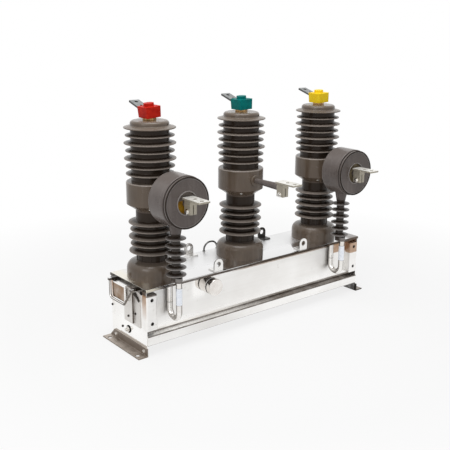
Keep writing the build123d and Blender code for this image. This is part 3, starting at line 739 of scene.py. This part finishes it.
addPiece("pipeSleeves", tubes, zincSleeve)
addPiece("pipeJoints", joints, shadedHoopAndJointSteel)

# seal in the plug's groove
plug = {"sealRadius": 23.6, "sealTube": 2.3, "groove": 18.5}
plugAt = middle("plug_cap")
place = (plugAt.x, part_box("plug_cap")[1].y - plug["groove"] * mm, plugAt.z)
addPiece("plugSeal", [ring(plug["sealRadius"], plug["sealTube"], place, (0, 1, 0))], darkRubber)
print("nuts, sleeves and seal placed")

# ribs on the neck above each bell, and a metal insert under each collar
neckRib = {"count": 10, "first": 195.0, "radius": 46.4, "half": 1.5, "low": 258.0, "high": 284.0,
           "ripples": 0, "steps": 24}
insert = {"angle": 233.0, "tilt": 55.3, "radius": 59.5, "height": 423.3,
          "size": 4.6, "sunk": 1.0, "edge": 1.2, "proud": 1.8, "bevel": 1.0}
profile = [(0, -insert["sunk"]), (insert["size"], -insert["sunk"]), (insert["size"], insert["edge"]),
           (insert["size"] - insert["bevel"], insert["proud"]), (0, insert["proud"])]
turn = math.radians(insert["angle"])
tilt = math.radians(insert["tilt"])
outward = (math.cos(turn) * math.cos(tilt), math.sin(turn) * math.cos(tilt), -math.sin(tilt))
ribAngles = np.radians(neckRib["first"] + np.arange(neckRib["count"]) * 360 / neckRib["count"])
ribs = []
inserts = []
for phase in phaseNames:
    axis = np.array([poleX[phase], 0, 0])
    for angle in ribAngles:
        foot = axis + neckRib["radius"] * mm * np.array([np.cos(angle), np.sin(angle), 0])
        low = foot + (0, 0, neckRib["low"] * mm)
        high = foot + (0, 0, neckRib["high"] * mm)
        ribs.append(bead(low, high, neckRib["half"], neckRib["ripples"], neckRib["steps"]))
    reach = insert["radius"] * mm
    place = axis + (reach * math.cos(turn), reach * math.sin(turn), insert["height"] * mm)
    inserts.append(turned(profile, place, outward, **hexGrid))
addPiece("neckRibs", ribs, shadedRibBrown)
addPiece("collarInserts", inserts, boltSteel)

# rings on each drum's front face: a rolled rim round the bore and a fine line inside the edge, both paler as
# a painted highlight, and a dark ring near the edge as painted shade in a groove
faceRings = {"boreRims": {"radius": 33.2, "tube": 1.7, "steps": 96, "material": litRimBrown},
             "drumGrooves": {"radius": 72.0, "tube": 2.0, "steps": 128, "material": grooveShadeBrown},
             "drumLines": {"radius": 68.4, "tube": 0.9, "steps": 128, "material": litRimBrown}}
for name, size in faceRings.items():
    rings = []
    for side in sides:
        bush = middle(f"transformer_bush_{side}")
        place = (bush.x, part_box(f"transformer_drum_{side}")[0].y, bush.z)
        rings.append(ring(size["radius"], size["tube"], place, (0, 1, 0), size["steps"]))
    addPiece(name, rings, size["material"])

# weld beads along both faces of each lifting eye, and round the feet of the hoop
weld = {"radius": 1.7, "rise": 0.5, "inset": 2.0, "ripples": 7, "eyeHalfSheet": 2.0,
        "hoopRod": 3.0, "hoopRing": 3.4, "hoopTube": 1.3, "hoopRise": 0.6, "hoopSteps": 32}
welds = []
for end in ends:
    for side in sides:
        low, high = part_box(f"lifting_eye_{end}_{side}")
        y = middle(f"lifting_eye_{end}_{side}").y
        z = lidTop + weld["rise"] * mm
        for sign in (-1, 1):
            line = y + sign * weld["eyeHalfSheet"] * mm
            start = (low.x + weld["inset"] * mm, line, z)
            stop = (high.x - weld["inset"] * mm, line, z)
            welds.append(bead(start, stop, weld["radius"], weld["ripples"]))
hoopLow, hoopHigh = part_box("rear_hoop")
hoopY = middle("rear_hoop").y
for x in (hoopLow.x + weld["hoopRod"] * mm, hoopHigh.x - weld["hoopRod"] * mm):
    foot = (x, hoopY, lidTop + weld["hoopRise"] * mm)
    welds.append(ring(weld["hoopRing"], weld["hoopTube"], foot, (0, 0, 1), weld["hoopSteps"]))
addPiece("weldBeads", welds, shadedEyeAndWeldSteel)
print("ribs, inserts, rims and welds placed")

# white floor that fades into the white surroundings and keeps the shadow near the object
studio = {"floorSize": 14.0, "floorGrey": 0.86, "near": 0.75, "far": 1.5, "nearShare": 0.8, "day": 0.38}
half = studio["floorSize"] / 2
corners = [(-half, -half, 0), (half, -half, 0), (half, half, 0), (-half, half, 0)]
floorMesh = bpy.data.meshes.new("floor")
floorMesh.from_pydata(corners, [], [(0, 1, 2, 3)])
floor = bpy.data.objects.new("floor", floorMesh)
scene.collection.objects.link(floor)


# two shares, each 1 for its rays: those straight from the camera, and those that were mirrored
def seenShare(tree):
    rays = addNode(tree, "LightPath").outputs
    mirrored = addMath(tree, "MAXIMUM", rays["Is Glossy Ray"], rays["Is Transmission Ray"])
    return rays["Is Camera Ray"], mirrored


floorMat = bpy.data.materials.new("paleFloor")
floorMat.use_nodes = True
tree = floorMat.node_tree
tree.nodes.clear()
straight, mirrored = seenShare(tree)
position = addNode(tree, "NewGeometry").outputs["Position"]
distance = addNode(tree, "VectorMath", {0: position}, operation="LENGTH").outputs["Value"]
diffuse = addNode(tree, "BsdfDiffuse", {"Color": [studio["floorGrey"]] * 3}).outputs[0]
glow = addNode(tree, "Emission", {"Color": (1.0, 1.0, 1.0), "Strength": 1.0}).outputs[0]
fade = addRange(tree, distance, studio["near"], studio["far"], studio["nearShare"], 1.0)
share = addMath(tree, "MAXIMUM", addMath(tree, "MULTIPLY", straight, fade), mirrored)
mixed = addNode(tree, "MixShader", {"Fac": share, 1: diffuse, 2: glow}).outputs[0]
addNode(tree, "OutputMaterial", {"Surface": mixed})
floorMesh.materials.append(floorMat)

world = bpy.data.worlds.new("studio")
scene.world = world
world.use_nodes = True
tree = world.node_tree
tree.nodes.clear()
straight, mirrored = seenShare(tree)
day = addNode(tree, "Background", {"Color": (1, 1, 1), "Strength": studio["day"]}).outputs[0]
white = addNode(tree, "Background", {"Color": (1, 1, 1), "Strength": 1.0}).outputs[0]
share = addMath(tree, "MAXIMUM", straight, mirrored)
mixed = addNode(tree, "MixShader", {"Fac": share, 1: day, 2: white}).outputs[0]
addNode(tree, "OutputWorld", {"Surface": mixed})

# square softboxes aimed at a point on the object
softboxes = {"topSoftbox": {"place": (-0.2, -0.3, 2.4), "target": (0, 0, 0.3), "size": 1.5, "power": 28},
             "leftSoftbox": {"place": (-2.3, -0.9, 1.6), "target": (0, 0, 0.35), "size": 1.2, "power": 14}}
for name, box in softboxes.items():
    lamp = bpy.data.lights.new(name, "AREA")
    lamp.shape = "SQUARE"
    lamp.size = box["size"]
    lamp.energy = box["power"]
    softbox = bpy.data.objects.new(name, lamp)
    scene.collection.objects.link(softbox)
    softbox.location = box["place"]
    aim = Vector(box["target"]) - Vector(box["place"])
    softbox.rotation_euler = aim.to_track_quat("-Z", "Y").to_euler()

# camera fitted to the photograph: heading, tilt and roll as three unit axes
view = {"place": (-1.4915, -1.7710, 0.9530), "yaw": -38.532, "pitch": 15.721, "roll": 0.372,
        "lens": 58.70, "sensor": 36.0}
yaw, pitch, roll = (math.radians(view[key]) for key in ("yaw", "pitch", "roll"))
ahead = Vector((-math.sin(yaw) * math.cos(pitch), math.cos(yaw) * math.cos(pitch), -math.sin(pitch)))
right = Vector((math.cos(yaw), math.sin(yaw), 0))
above = right.cross(ahead)
rightRolled = math.cos(roll) * right + math.sin(roll) * above
aboveRolled = math.cos(roll) * above - math.sin(roll) * right
camData = bpy.data.cameras.new("camera")
camData.lens = view["lens"]
camData.sensor_width = view["sensor"]
cam = bpy.data.objects.new("camera", camData)
scene.collection.objects.link(cam)
heading = Matrix((rightRolled, aboveRolled, -ahead)).transposed().to_4x4()
cam.matrix_world = Matrix.Translation(view["place"]) @ heading
scene.camera = cam
scene.view_settings.view_transform = "Standard"
print("stage set")
